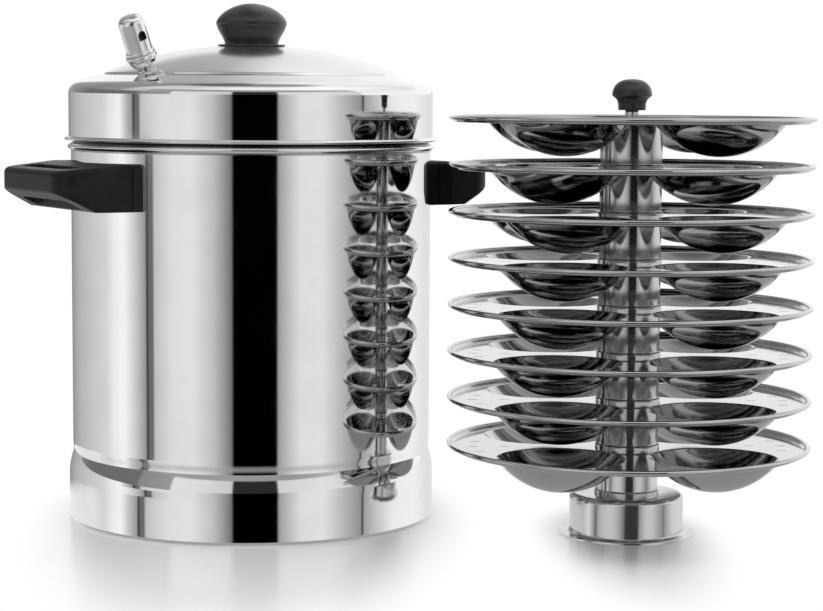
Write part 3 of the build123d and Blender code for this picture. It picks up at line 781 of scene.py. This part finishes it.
class STEAMER_OT_lid(bpy.types.Operator):
    """Makes the lid: dome, crease, shoulder, band, rolled edge and plug"""

    bl_idname = "steamer.lid"
    bl_label = "Lid"

    def execute(self, context):
        lid = context.scene.steamer_lid
        sheet = context.scene.steamer_pot.sheet
        low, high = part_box("lid_shell")
        top = high.z
        band_low = low.z + lid.plug_depth + lid.bead_rise
        span = lid.crease_radius - lid.land_radius
        dome_radius = (span**2 + lid.crease_drop**2) / (2 * lid.crease_drop)
        sweep = np.linspace(0.0, math.asin(span / dome_radius), curve_steps)
        dome = cap_line(lid.land_radius, top, dome_radius, sweep, -1)
        crease_z = top - lid.crease_drop
        corner_z = top - lid.corner_drop
        edge = [
            tuple(dome[-2]),
            (lid.crease_radius, crease_z),
            (lid.crease_radius + lid.step_width, crease_z - lid.step_height),
            (lid.band_radius, corner_z),
            (lid.band_radius, band_low),
            (lid.plug_radius, band_low),
            (lid.plug_radius, low.z),
        ]
        bends = [lid.step_bend + sheet, lid.step_bend, lid.corner_radius, sheet, sheet]
        outer = np.concatenate([[(lid.hole_radius, top)], dome[:-2], rounded(edge, bends)])
        inner_dome = cap_line(lid.land_radius, top - sheet, dome_radius - sheet, sweep, -1)
        inner_edge = offset_line(edge, -sheet)
        inner_bends = [lid.step_bend, lid.step_bend + sheet, lid.corner_radius - sheet, 0.0, 2 * sheet]
        inner_hole = [(lid.hole_radius, top - sheet)]
        inner = np.concatenate([inner_hole, inner_dome[:-2], rounded(inner_edge, inner_bends)])
        shell = supported(np.concatenate([outer, inner[::-1]]), lid_support, closed=True)
        bead = bead_outline(
            lid.band_radius - sheet / 2, band_low, lid.bead_width + sheet / 2, lid.bead_height
        )
        solid = joined(turned(shell, closed=True), turned(bead, closed=True))
        steel = finish("lid_steel")
        stand_in("lid_shell", "lid_body", solid, steel, sharp_edge)
        return {"FINISHED"}


# Rings of the lid's knob, as shares of the height to its belly, and their half width
groove_places = (0.80, 0.88)
groove_width = 0.018
# Powers of the two crowns' roundness across and upwards
lid_crown = (2.0, 1.5)
rack_crown = (2.5, 2.3)
# Heights of the rack knob's waist as shares of its height, and the radii there as shares
waist_places = (0.20, 0.36)
waist_radii = (0.70, 0.80)


def crown(radius, low, height, powers):
    """Domed crown from the belly to the axis: r^a + h^b = 1 in shares of radius and height."""
    across_power, up_power = powers
    rise = np.sin(np.linspace(0.0, math.pi / 2, curve_steps)) ** (2.0 / up_power)
    across = np.clip(1.0 - rise**up_power, 0.0, 1.0) ** (1.0 / across_power)
    return line_of(radius * across, low + height * rise)


class STEAMER_OT_knobs(bpy.types.Operator):
    """Makes the lid's knob and the rack's knob"""

    bl_idname = "steamer.knobs"
    bl_label = "Knobs"

    def execute(self, context):
        knob = context.scene.steamer_knob
        low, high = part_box("lid_knob")
        height = high.z - low.z
        rise = np.linspace(0.0, 1.0, curve_steps)
        ease = rise * rise * (3.0 - 2.0 * rise)
        across = knob.foot_radius + (knob.radius - knob.foot_radius) * ease
        for place in groove_places:
            across -= knob.groove * np.exp(-(((rise - place) / groove_width) ** 2))
        belly = low.z + height * knob.belly
        waist = line_of(across, low.z + height * knob.belly * rise)
        top = crown(knob.radius, belly, high.z - belly, lid_crown)
        outline = np.concatenate([[(0.0, low.z)], waist, top[1:]])
        solid = turned(outline, steps=small_turn_steps)
        black = finish("knob_moulding")
        stand_in("lid_knob", "lid_knob_grip", solid, black, sharp_edge)

        low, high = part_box("rack_knob")
        base = low.z + knob.rack_hub_height
        height = high.z - base
        neck = knob.rack_neck_radius / knob.rack_radius
        curve = np.polyfit([0.0, *waist_places, knob.rack_belly], [neck, *waist_radii, 1.0], 3)
        rise = np.linspace(0.0, knob.rack_belly, curve_steps)
        belly = base + height * knob.rack_belly
        waist = line_of(knob.rack_radius * np.polyval(curve, rise), base + height * rise)
        top = crown(knob.rack_radius, belly, high.z - belly, rack_crown)
        hub = [
            (knob.stud_radius, low.z),
            (knob.rack_hub_radius, low.z),
            (knob.rack_hub_radius, base),
        ]
        bore_top = base + height * knob.rack_bore
        bore = [(0.0, bore_top), (knob.stud_radius, bore_top)]
        outline = np.concatenate([bore, hub, waist, top[1:]])
        solid = turned(outline, axis_of("rack_knob"), steps=small_turn_steps)
        stand_in("rack_knob", "rack_knob_grip", solid, black, sharp_edge)
        return {"FINISHED"}


class STEAMER_OT_handles(bpy.types.Operator):
    """Finishes the two side handles, their brackets and their screws"""

    bl_idname = "steamer.handles"
    bl_label = "Handles"

    def execute(self, context):
        for side in ("left", "right"):
            paint_node(f"handle_{side}", finish("black_moulding"))
            paint_node(f"handle_bracket_{side}", finish("small_steel"))
            paint_node(f"handle_screws_{side}", finish("small_steel"))
        return {"FINISHED"}


# Small parts that stay as the CAD has them, by their finish
fittings = {
    "small_steel": ("steam_vent_tube", "steam_vent_nut", "lid_knob_washer", "lid_knob_screw",
                    "rack_rod_washer", "rack_rod_nut", "whistle_sound_disc"),
    "satin_steel": ("rack_rod",),
    "whistle_steel": ("whistle_cage", "whistle_cap"),
    "brass": ("lid_knob_insert", "rack_knob_insert"),
    "rubber": ("steam_vent_gasket",),
    "shield": ("lid_knob_heat_shield",),
}


class STEAMER_OT_fittings(bpy.types.Operator):
    """Finishes the whistle, the steam vent and the small parts of the knobs and the rod"""

    bl_idname = "steamer.fittings"
    bl_label = "Whistle and small parts"

    def execute(self, context):
        for name, nodes in fittings.items():
            for node in nodes:
                paint_node(node, finish(name))
        return {"FINISHED"}


class STEAMER_OT_rack(bpy.types.Operator):
    """Makes the rack's foot and its spacer sleeves"""

    bl_idname = "steamer.rack"
    bl_label = "Foot and sleeves"

    def execute(self, context):
        rack = context.scene.steamer_rack
        sheet = context.scene.steamer_pot.sheet
        centre = axis_of("rack_foot")
        low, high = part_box("rack_foot")
        flange = (high.x - low.x) / 2
        skin = [
            (rack.foot_hole, high.z),
            (rack.foot_radius, high.z),
            (rack.foot_radius, low.z + sheet),
            (flange, low.z + sheet),
        ]
        outline = sheet_outline(skin, [rack.foot_corner, rack.foot_bend], -sheet)
        outline = supported(outline, rack_support, closed=True)
        solid = turned(outline, centre, closed=True)
        steel = finish("satin_steel")
        stand_in("rack_foot", "rack_foot_shell", solid, steel, sharp_edge)
        for tier in range(1, tier_total + 1):
            node = f"spacer_sleeve_{tier}"
            low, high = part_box(node)
            foot = rack.sleeve_radius + rack.sleeve_flare
            skin = [
                (rack.rod_radius, high.z),
                (rack.sleeve_radius, high.z),
                (rack.sleeve_radius, low.z + rack.sleeve_flare_height),
                (foot, low.z + rack.sleeve_flare_height - rack.sleeve_flare),
                (foot, low.z),
            ]
            outline = sheet_outline(skin, [rack.sleeve_corner, sheet, sheet / 2], -sheet)
            outline = supported(outline, rack_support, closed=True)
            solid = turned(outline, centre, closed=True, steps=small_turn_steps * 2)
            stand_in(node, f"sleeve_{tier}", solid, steel, sharp_edge)
        return {"FINISHED"}


# Turn of each plate about the rod in degrees, and the steam slots as shares of the plate radius
plate_turns = [46.5, 40.5, 50.0, 47.0, 46.0, 43.5, 44.5, 46.5]
slot_shares = [(0.68, 0.0), (0.83, -0.17), (0.83, 0.17), (0.86, 0.0)]
cup_total = 4


def closed_spline(curve, points):
    """Adds a closed polygon to a flat curve."""
    spline = curve.splines.new("POLY")
    spline.points.add(len(points) - 1)
    flat = np.zeros((len(points), 4))
    flat[:, :2] = points
    flat[:, 3] = 1.0
    spline.points.foreach_set("co", flat.ravel())
    spline.use_cyclic_u = True


def circle(radius, steps, centre=(0.0, 0.0)):
    """Points of a circle."""
    turn = np.linspace(0.0, 2 * math.pi, steps, endpoint=False)
    return line_of(centre[0] + radius * np.cos(turn), centre[1] + radius * np.sin(turn))


def slot_points(reach, width, centre, turn):
    """Points of a slot with round ends, along a direction turned from X."""
    half = (reach - width) / 2
    sweep = np.linspace(-math.pi / 2, math.pi / 2, slot_end_steps)
    end = line_of(half + width / 2 * np.cos(sweep), width / 2 * np.sin(sweep))
    points = np.concatenate([end, -end]) + np.asarray(centre)
    c, s = math.cos(turn), math.sin(turn)
    return points @ np.array([[c, s], [-s, c]])


def cup_places(rack):
    """For each cup its direction from the rod in radians and its middle."""
    for index in range(cup_total):
        turn = 2 * math.pi * index / cup_total
        yield turn, (rack.cup_circle * math.cos(turn), rack.cup_circle * math.sin(turn))


def web_sheet(rack, sheet, web_radius, plate_radius):
    """Flat web of a plate, filled between its outer circle and its holes, with its top at zero."""
    curve = bpy.data.curves.new("web_outline", "CURVE")
    curve.dimensions = "2D"
    curve.fill_mode = "BOTH"
    curve.extrude = sheet / 2
    closed_spline(curve, circle(web_radius, turn_steps))
    closed_spline(curve, circle(rack.rod_radius, small_turn_steps // 2))
    for turn, centre in cup_places(rack):
        closed_spline(curve, circle(rack.cup_radius + rack.cup_lip, small_turn_steps, centre))
        between = turn + math.pi / cup_total
        for along, across in slot_shares:
            place = (plate_radius * along, plate_radius * across)
            closed_spline(curve, slot_points(rack.slot_length, rack.slot_width, place, between))
    holder = bpy.data.objects.new("web_outline", curve)
    bpy.context.scene.collection.objects.link(holder)
    bpy.context.view_layer.update()
    graph = bpy.context.evaluated_depsgraph_get()
    mesh = bpy.data.meshes.new_from_object(holder.evaluated_get(graph))
    points = np.zeros(len(mesh.vertices) * 3)
    mesh.vertices.foreach_get("co", points)
    points = points.reshape(-1, 3) - (0.0, 0.0, sheet / 2)
    faces = [list(face.vertices) for face in mesh.polygons]
    bpy.data.objects.remove(holder)
    bpy.data.meshes.remove(mesh)
    bpy.data.curves.remove(curve)
    return points, faces


def plate_solid(rack, sheet, plate_radius):
    """One plate about the origin with its web's top at zero: web, four cups and rolled rim."""
    bead_centre = plate_radius - rack.bead_radius
    slope_start = bead_centre - rack.rim_slope
    web_radius = slope_start - 2 * rack.web_bend
    web = web_sheet(rack, sheet, web_radius, plate_radius)
    skin = [(web_radius, -sheet), (slope_start, -sheet), (bead_centre, rack.rim_rise - sheet)]
    slope = turned(sheet_outline(skin, [rack.web_bend], sheet), closed=True)
    roll = circle(rack.bead_radius, tube_steps, (bead_centre, rack.rim_rise - sheet))
    bead = turned(roll, closed=True)
    ball = (rack.cup_radius**2 + rack.cup_depth**2) / (2 * rack.cup_depth)
    wall = math.asin(rack.cup_radius / ball)
    sweep = np.linspace(0.0, wall, curve_steps)[:-2]
    bowl = cap_line(0.0, -rack.cup_depth, ball, sweep, 1)
    tail = [tuple(bowl[-1]), (rack.cup_radius, 0.0), (rack.cup_radius + rack.cup_lip, 0.0)]
    inner = np.concatenate([bowl[:-1], rounded(tail, [rack.cup_bend])])
    bowl = cap_line(0.0, -rack.cup_depth - sheet, ball + sheet, sweep, 1)
    tail = offset_line(tail, -sheet)
    tail[0] = bowl[-1]
    outer = np.concatenate([bowl[:-1], rounded(tail, [max(rack.cup_bend - sheet, 0.0)])])
    cup = turned(np.concatenate([inner, outer[::-1]]), steps=small_turn_steps)
    cups = [moved(cup, 0.0, (*centre, 0.0)) for turn, centre in cup_places(rack)]
    return joined(web, slope, bead, *cups)


class STEAMER_OT_plates(bpy.types.Operator):
    """Makes the idli plates, each with a slotted web, four cups and a rolled rim"""

    bl_idname = "steamer.plates"
    bl_label = "Plates"

    def execute(self, context):
        rack = context.scene.steamer_rack
        sheet = context.scene.steamer_pot.sheet
        low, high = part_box("idli_plate_1")
        blank = plate_solid(rack, sheet, (high.x - low.x) / 2)
        above_web = rack.rim_rise - sheet + rack.bead_radius
        for tier in range(1, tier_total + 1):
            node = f"idli_plate_{tier}"
            centre = axis_of(node)
            web_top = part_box(node)[1].z - above_web
            turn = math.radians(plate_turns[tier - 1])
            solid = moved(blank, turn, (*centre, web_top))
            steel = finish("plate_steel")
            stand_in(node, f"plate_{tier}", solid, steel, plate_sharp_edge)
        return {"FINISHED"}


# Light, floor and camera

# Soft panels round the object, which the steel mirrors: first and last direction in degrees
# from +X, and the greys as they show, evenly spaced from one edge to the other
studio_panels = {
    "side_right": (-13.2, 60.0, (0.62, 0.92, 0.94, 0.86)),
    "back": (60.0, 96.0, (0.86, 0.80)),
    "back_left": (96.0, 168.0, (0.42, 0.70, 0.83)),
    "side_left": (168.0, 203.0, (0.83, 0.93, 0.955, 0.80, 0.58)),
    "post_left": (203.0, 204.2, (0.10, 0.10)),
    "gap_left": (204.2, 209.3, (0.41, 0.41)),
    "front_left": (209.3, 261.3, (0.75, 0.87, 0.885, 0.76, 0.41)),
    "opening": (261.3, 289.5, (0.0, 0.0)),
    "front_right": (289.5, 345.4, (0.62, 0.87, 0.88, 0.72, 0.55)),
    "post_right": (345.4, 346.8, (0.15, 0.15)),
}
upper_panels = {
    "side_right": (-14.6, 60.0, (0.93, 0.97)),
    "back": (60.0, 104.0, (0.96, 0.90)),
    "side_left": (104.0, 198.0, (0.60, 0.42, 0.42)),
    "corner_left": (198.0, 222.0, (0.52, 0.60)),
    "front_left": (222.0, 261.3, (0.88, 0.86, 0.78)),
    "opening": (261.3, 289.5, (0.16, 0.16)),
    "front_right": (289.5, 345.4, (0.82, 0.88, 0.80)),
}
top_panels = {
    "side_right": (-14.6, 60.0, (0.93, 0.88)),
    "back": (60.0, 88.0, (0.96, 0.90)),
    "back_left": (88.0, 96.0, (0.90, 0.66)),
    "side_left": (96.0, 174.0, (0.66, 0.52, 0.56)),
    "corner_left": (174.0, 200.0, (0.60, 0.74)),
    "front": (200.0, 345.4, (0.62, 0.60, 0.58, 0.75)),
}
crown_panels = {
    "side_right": (-14.6, 60.0, (0.99, 0.88)),
    "back": (60.0, 88.0, (0.96, 0.92)),
    "back_left": (88.0, 96.0, (0.92, 0.70)),
    "side_left": (96.0, 174.0, (0.66, 0.54, 0.56)),
    "front": (174.0, 345.4, (0.62, 0.80, 0.94, 0.96, 0.99)),
}
panel_edge = 0.25
mirror_gain = 1.25
# Heights, as sines of the angle above the horizon, at which the next ring takes over
ring_heights = [(0.046, 0.054), (0.36, 0.40), (0.60, 0.64)]
# Brightness of the highest surroundings: pairs of the sine of the height and a share
height_shares = [(0.90, 1.0), (0.955, 0.36), (1.0, 0.30)]
# The left post and gap stand further left for the lid and for the base band: window around
# them as shares of a full turn, and for each the sines of the heights and the turn in degrees
post_window = (0.0, 0.03, 0.07, 0.14)
lid_view = (-0.0245, -0.0225, 8.9)
base_view = (0.170, 0.178, 5.8)
# The base band also mirrors a brighter sheet at the back left: its edges and its grey
base_sheet = (0.74, 0.78, 0.93, 0.97)
base_grey = 0.88
floor_grey = 0.62
# Sines of the depths below the horizon between which mirrors turn to the floor's shade
floor_depths = (0.24, 0.50)


def ring_stops(panels):
    """Stops of a ring of panels, from -180 to 180 degrees, with a short ramp at every edge."""
    stops = []
    for first, last, greys in panels.values():
        places = np.linspace(first + panel_edge / 2, last - panel_edge / 2, len(greys))
        around = ((places + 180.0) % 360.0) / 360.0
        stops.extend(zip(around.tolist(), map(linear, greys)))
    return sorted(stops)


def window(nodes, value, edges):
    """One between the middle two edges, none outside the outer two, and smooth between them."""
    rise = nodes.smooth(value, edges[0], edges[1])
    return rise * nodes.smooth(value, edges[2], edges[3], 1.0, 0.0)


def light_world(scene):
    """Sky that is white to the camera and to soft light, and ringed with panels to mirrors.

    The direction's angle about the vertical picks a grey from one of four rings, one above the
    other, and the highest is dimmed by a share that depends on the height. Steep downward
    directions turn to the shade of the floor.
    """
    world = bpy.data.worlds.new("studio")
    scene.world = world
    world.use_nodes = True
    nodes = Nodes(world.node_tree)
    x, y, z = nodes.split(nodes.add("ShaderNodeTexCoord", output="Generated"))
    around = y.angle_to(x) / (2 * math.pi) + 0.5
    depth = -1.0 * z
    on_lid = nodes.smooth(z, *lid_view[:2]) * (lid_view[2] / 360.0)
    on_base = nodes.smooth(depth, *base_view[:2])
    turn = on_lid + on_base * (base_view[2] / 360.0)
    bent = around + window(nodes, around, post_window) * turn
    low = nodes.add("ShaderNodeValToRGB", {"stops": ring_stops(studio_panels)}, {0: bent})
    sheet = on_base * window(nodes, around, base_sheet)
    upper = nodes.blend(sheet, low, opaque(linear(base_grey)))
    for panels, (start, end) in zip((upper_panels, top_panels, crown_panels), ring_heights):
        ring = nodes.add("ShaderNodeValToRGB", {"stops": ring_stops(panels)}, {0: around})
        upper = nodes.blend(nodes.smooth(z, start, end), upper, ring)
    cover = nodes.add("ShaderNodeValToRGB", {"stops": height_shares}, {0: z})
    upper = nodes.blend(cover, opaque(0.0), upper)
    low_share = nodes.smooth(depth, *floor_depths)
    mirrored = nodes.blend(low_share, upper, opaque(linear(floor_grey)))
    glossy = nodes.ray("Is Glossy Ray")
    sky = nodes.blend(glossy, opaque(1.0), mirrored)
    strength = 1.0 + glossy * (mirror_gain - 1.0)
    light = nodes.add("ShaderNodeBackground", {}, {"Color": sky, "Strength": strength})
    nodes.add("ShaderNodeOutputWorld", {}, {"Surface": light})


# Scale of the floor's cloudiness, its two shades, and the floor's blur
floor_cloud_scale = 3.0
floor_shades = (0.99, 1.01)
floor_blur = 0.22


def floor_material(look):
    """Pale glossy floor with the faintest cloudiness, which fades to white away from the set.

    The pot's base and the rack's foot each have a rounded footprint that reaches further to the
    front. With a and b as the places sideways and lengthwise in shares of its reach, the fade is
    a smooth step of the root of a^2 + b^2.
    """
    material, nodes = new_material("floor")
    place = nodes.place()
    cloud = nodes.noise(place, floor_cloud_scale)
    dark, pale = (tinted(look.floor, gain) for gain in floor_shades)
    shade = nodes.blend(cloud, dark, pale)
    surface = nodes.surface({"Base Color": shade, "Roughness": floor_blur})
    white = nodes.add("ShaderNodeEmission", {}, {"Color": opaque(1.0), "Strength": 1.0})
    x, y, _ = nodes.split(place)
    far = nodes.ray("Is Camera Ray")
    footprints = (
        ("pot_shell", look.pot_margins, look.pot_start),
        ("rack_foot", look.foot_margins, look.foot_start),
    )
    for node, spare, start in footprints:
        low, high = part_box(node)
        centre = axis_of(node)
        side, front, back = ((high.x - low.x) / 2 + margin for margin in spare)
        aside = (x - centre[0]) / side
        ahead = ((y - centre[1]) / back).largest((centre[1] - y) / front)
        far = far * nodes.smooth((aside * aside + ahead * ahead).root(), start, 1.0)
    nodes.show(nodes.mixed(far, surface, white))
    return material


lamp_place = (0.1, -0.3, 1.8)
# The camera's frame width in millimetres, and the nearest and furthest it sees in metres
sensor_width = 36.0
sight = (0.05, 50.0)


class STEAMER_OT_stage(bpy.types.Operator):
    """Makes the floor, the light and the camera at the photograph's angle"""

    bl_idname = "steamer.stage"
    bl_label = "Stage"

    def execute(self, context):
        scene = context.scene
        look = scene.steamer_stage
        sides = [(-1, -1, 0), (1, -1, 0), (1, 1, 0), (-1, 1, 0)]
        corners = np.array(sides) * look.floor_half
        floor = make_piece("floor", (corners, [[0, 1, 2, 3]]), floor_material(look))
        floor.visible_glossy = False
        light_world(scene)
        lamp = bpy.data.lights.new("overhead", "AREA")
        lamp.energy = look.lamp_power
        lamp.size = look.lamp_size
        holder = bpy.data.objects.new("overhead", lamp)
        holder.location = lamp_place
        holder.visible_glossy = False
        scene.collection.objects.link(holder)

        camera = bpy.data.cameras.new("camera")
        camera.lens = look.lens
        camera.sensor_width = sensor_width
        camera.clip_start, camera.clip_end = sight
        place = Matrix.Translation((look.camera_x, look.camera_y, look.camera_z))
        yaw = Matrix.Rotation(-look.camera_yaw, 4, "Z")
        pitch = Matrix.Rotation(math.pi / 2 - look.camera_pitch, 4, "X")
        roll = Matrix.Rotation(look.camera_roll, 4, "Z")
        viewer = bpy.data.objects.new("camera", camera)
        viewer.matrix_world = place @ yaw @ pitch @ roll
        scene.collection.objects.link(viewer)
        scene.camera = viewer
        scene.view_settings.view_transform = "Standard"
        return {"FINISHED"}


class STEAMER_PT_panel(bpy.types.Panel):
    """Sidebar panel with the settings and one button for each group of pieces"""

    bl_idname = "STEAMER_PT_panel"
    bl_label = "Idli Steamer"
    bl_space_type = "VIEW_3D"
    bl_region_type = "UI"
    bl_category = "Steamer"

    def draw(self, context):
        for name, group in setting_groups.items():
            box = self.layout.box()
            box.label(text=group.__doc__)
            settings = getattr(context.scene, name)
            for key in group.__annotations__:
                box.prop(settings, key)
        for operator in operators:
            self.layout.operator(operator.bl_idname)


setting_groups = {
    "steamer_pot": PotSizes,
    "steamer_lid": LidSizes,
    "steamer_knob": KnobSizes,
    "steamer_rack": RackSizes,
    "steamer_finish": FinishLook,
    "steamer_stage": StageLook,
}
operators = [
    STEAMER_OT_stage,
    STEAMER_OT_pot,
    STEAMER_OT_lid,
    STEAMER_OT_knobs,
    STEAMER_OT_handles,
    STEAMER_OT_fittings,
    STEAMER_OT_rack,
    STEAMER_OT_plates,
]


def register():
    """Registers the settings, the operators and the panel."""
    for name, group in setting_groups.items():
        bpy.utils.register_class(group)
        setattr(bpy.types.Scene, name, bpy.props.PointerProperty(type=group))
    for operator in operators:
        bpy.utils.register_class(operator)
    bpy.utils.register_class(STEAMER_PT_panel)


def unregister():
    """Takes the panel, the operators and the settings away again."""
    bpy.utils.unregister_class(STEAMER_PT_panel)
    for operator in reversed(operators):
        bpy.utils.unregister_class(operator)
    for name, group in setting_groups.items():
        delattr(bpy.types.Scene, name)
        bpy.utils.unregister_class(group)


def main():
    """Registers the settings and runs every operator, which make the stage and every piece."""
    register()
    for operator in operators:
        family, name = operator.bl_idname.split(".")
        getattr(getattr(bpy.ops, family), name)()


if __name__ == "__main__":
    main()
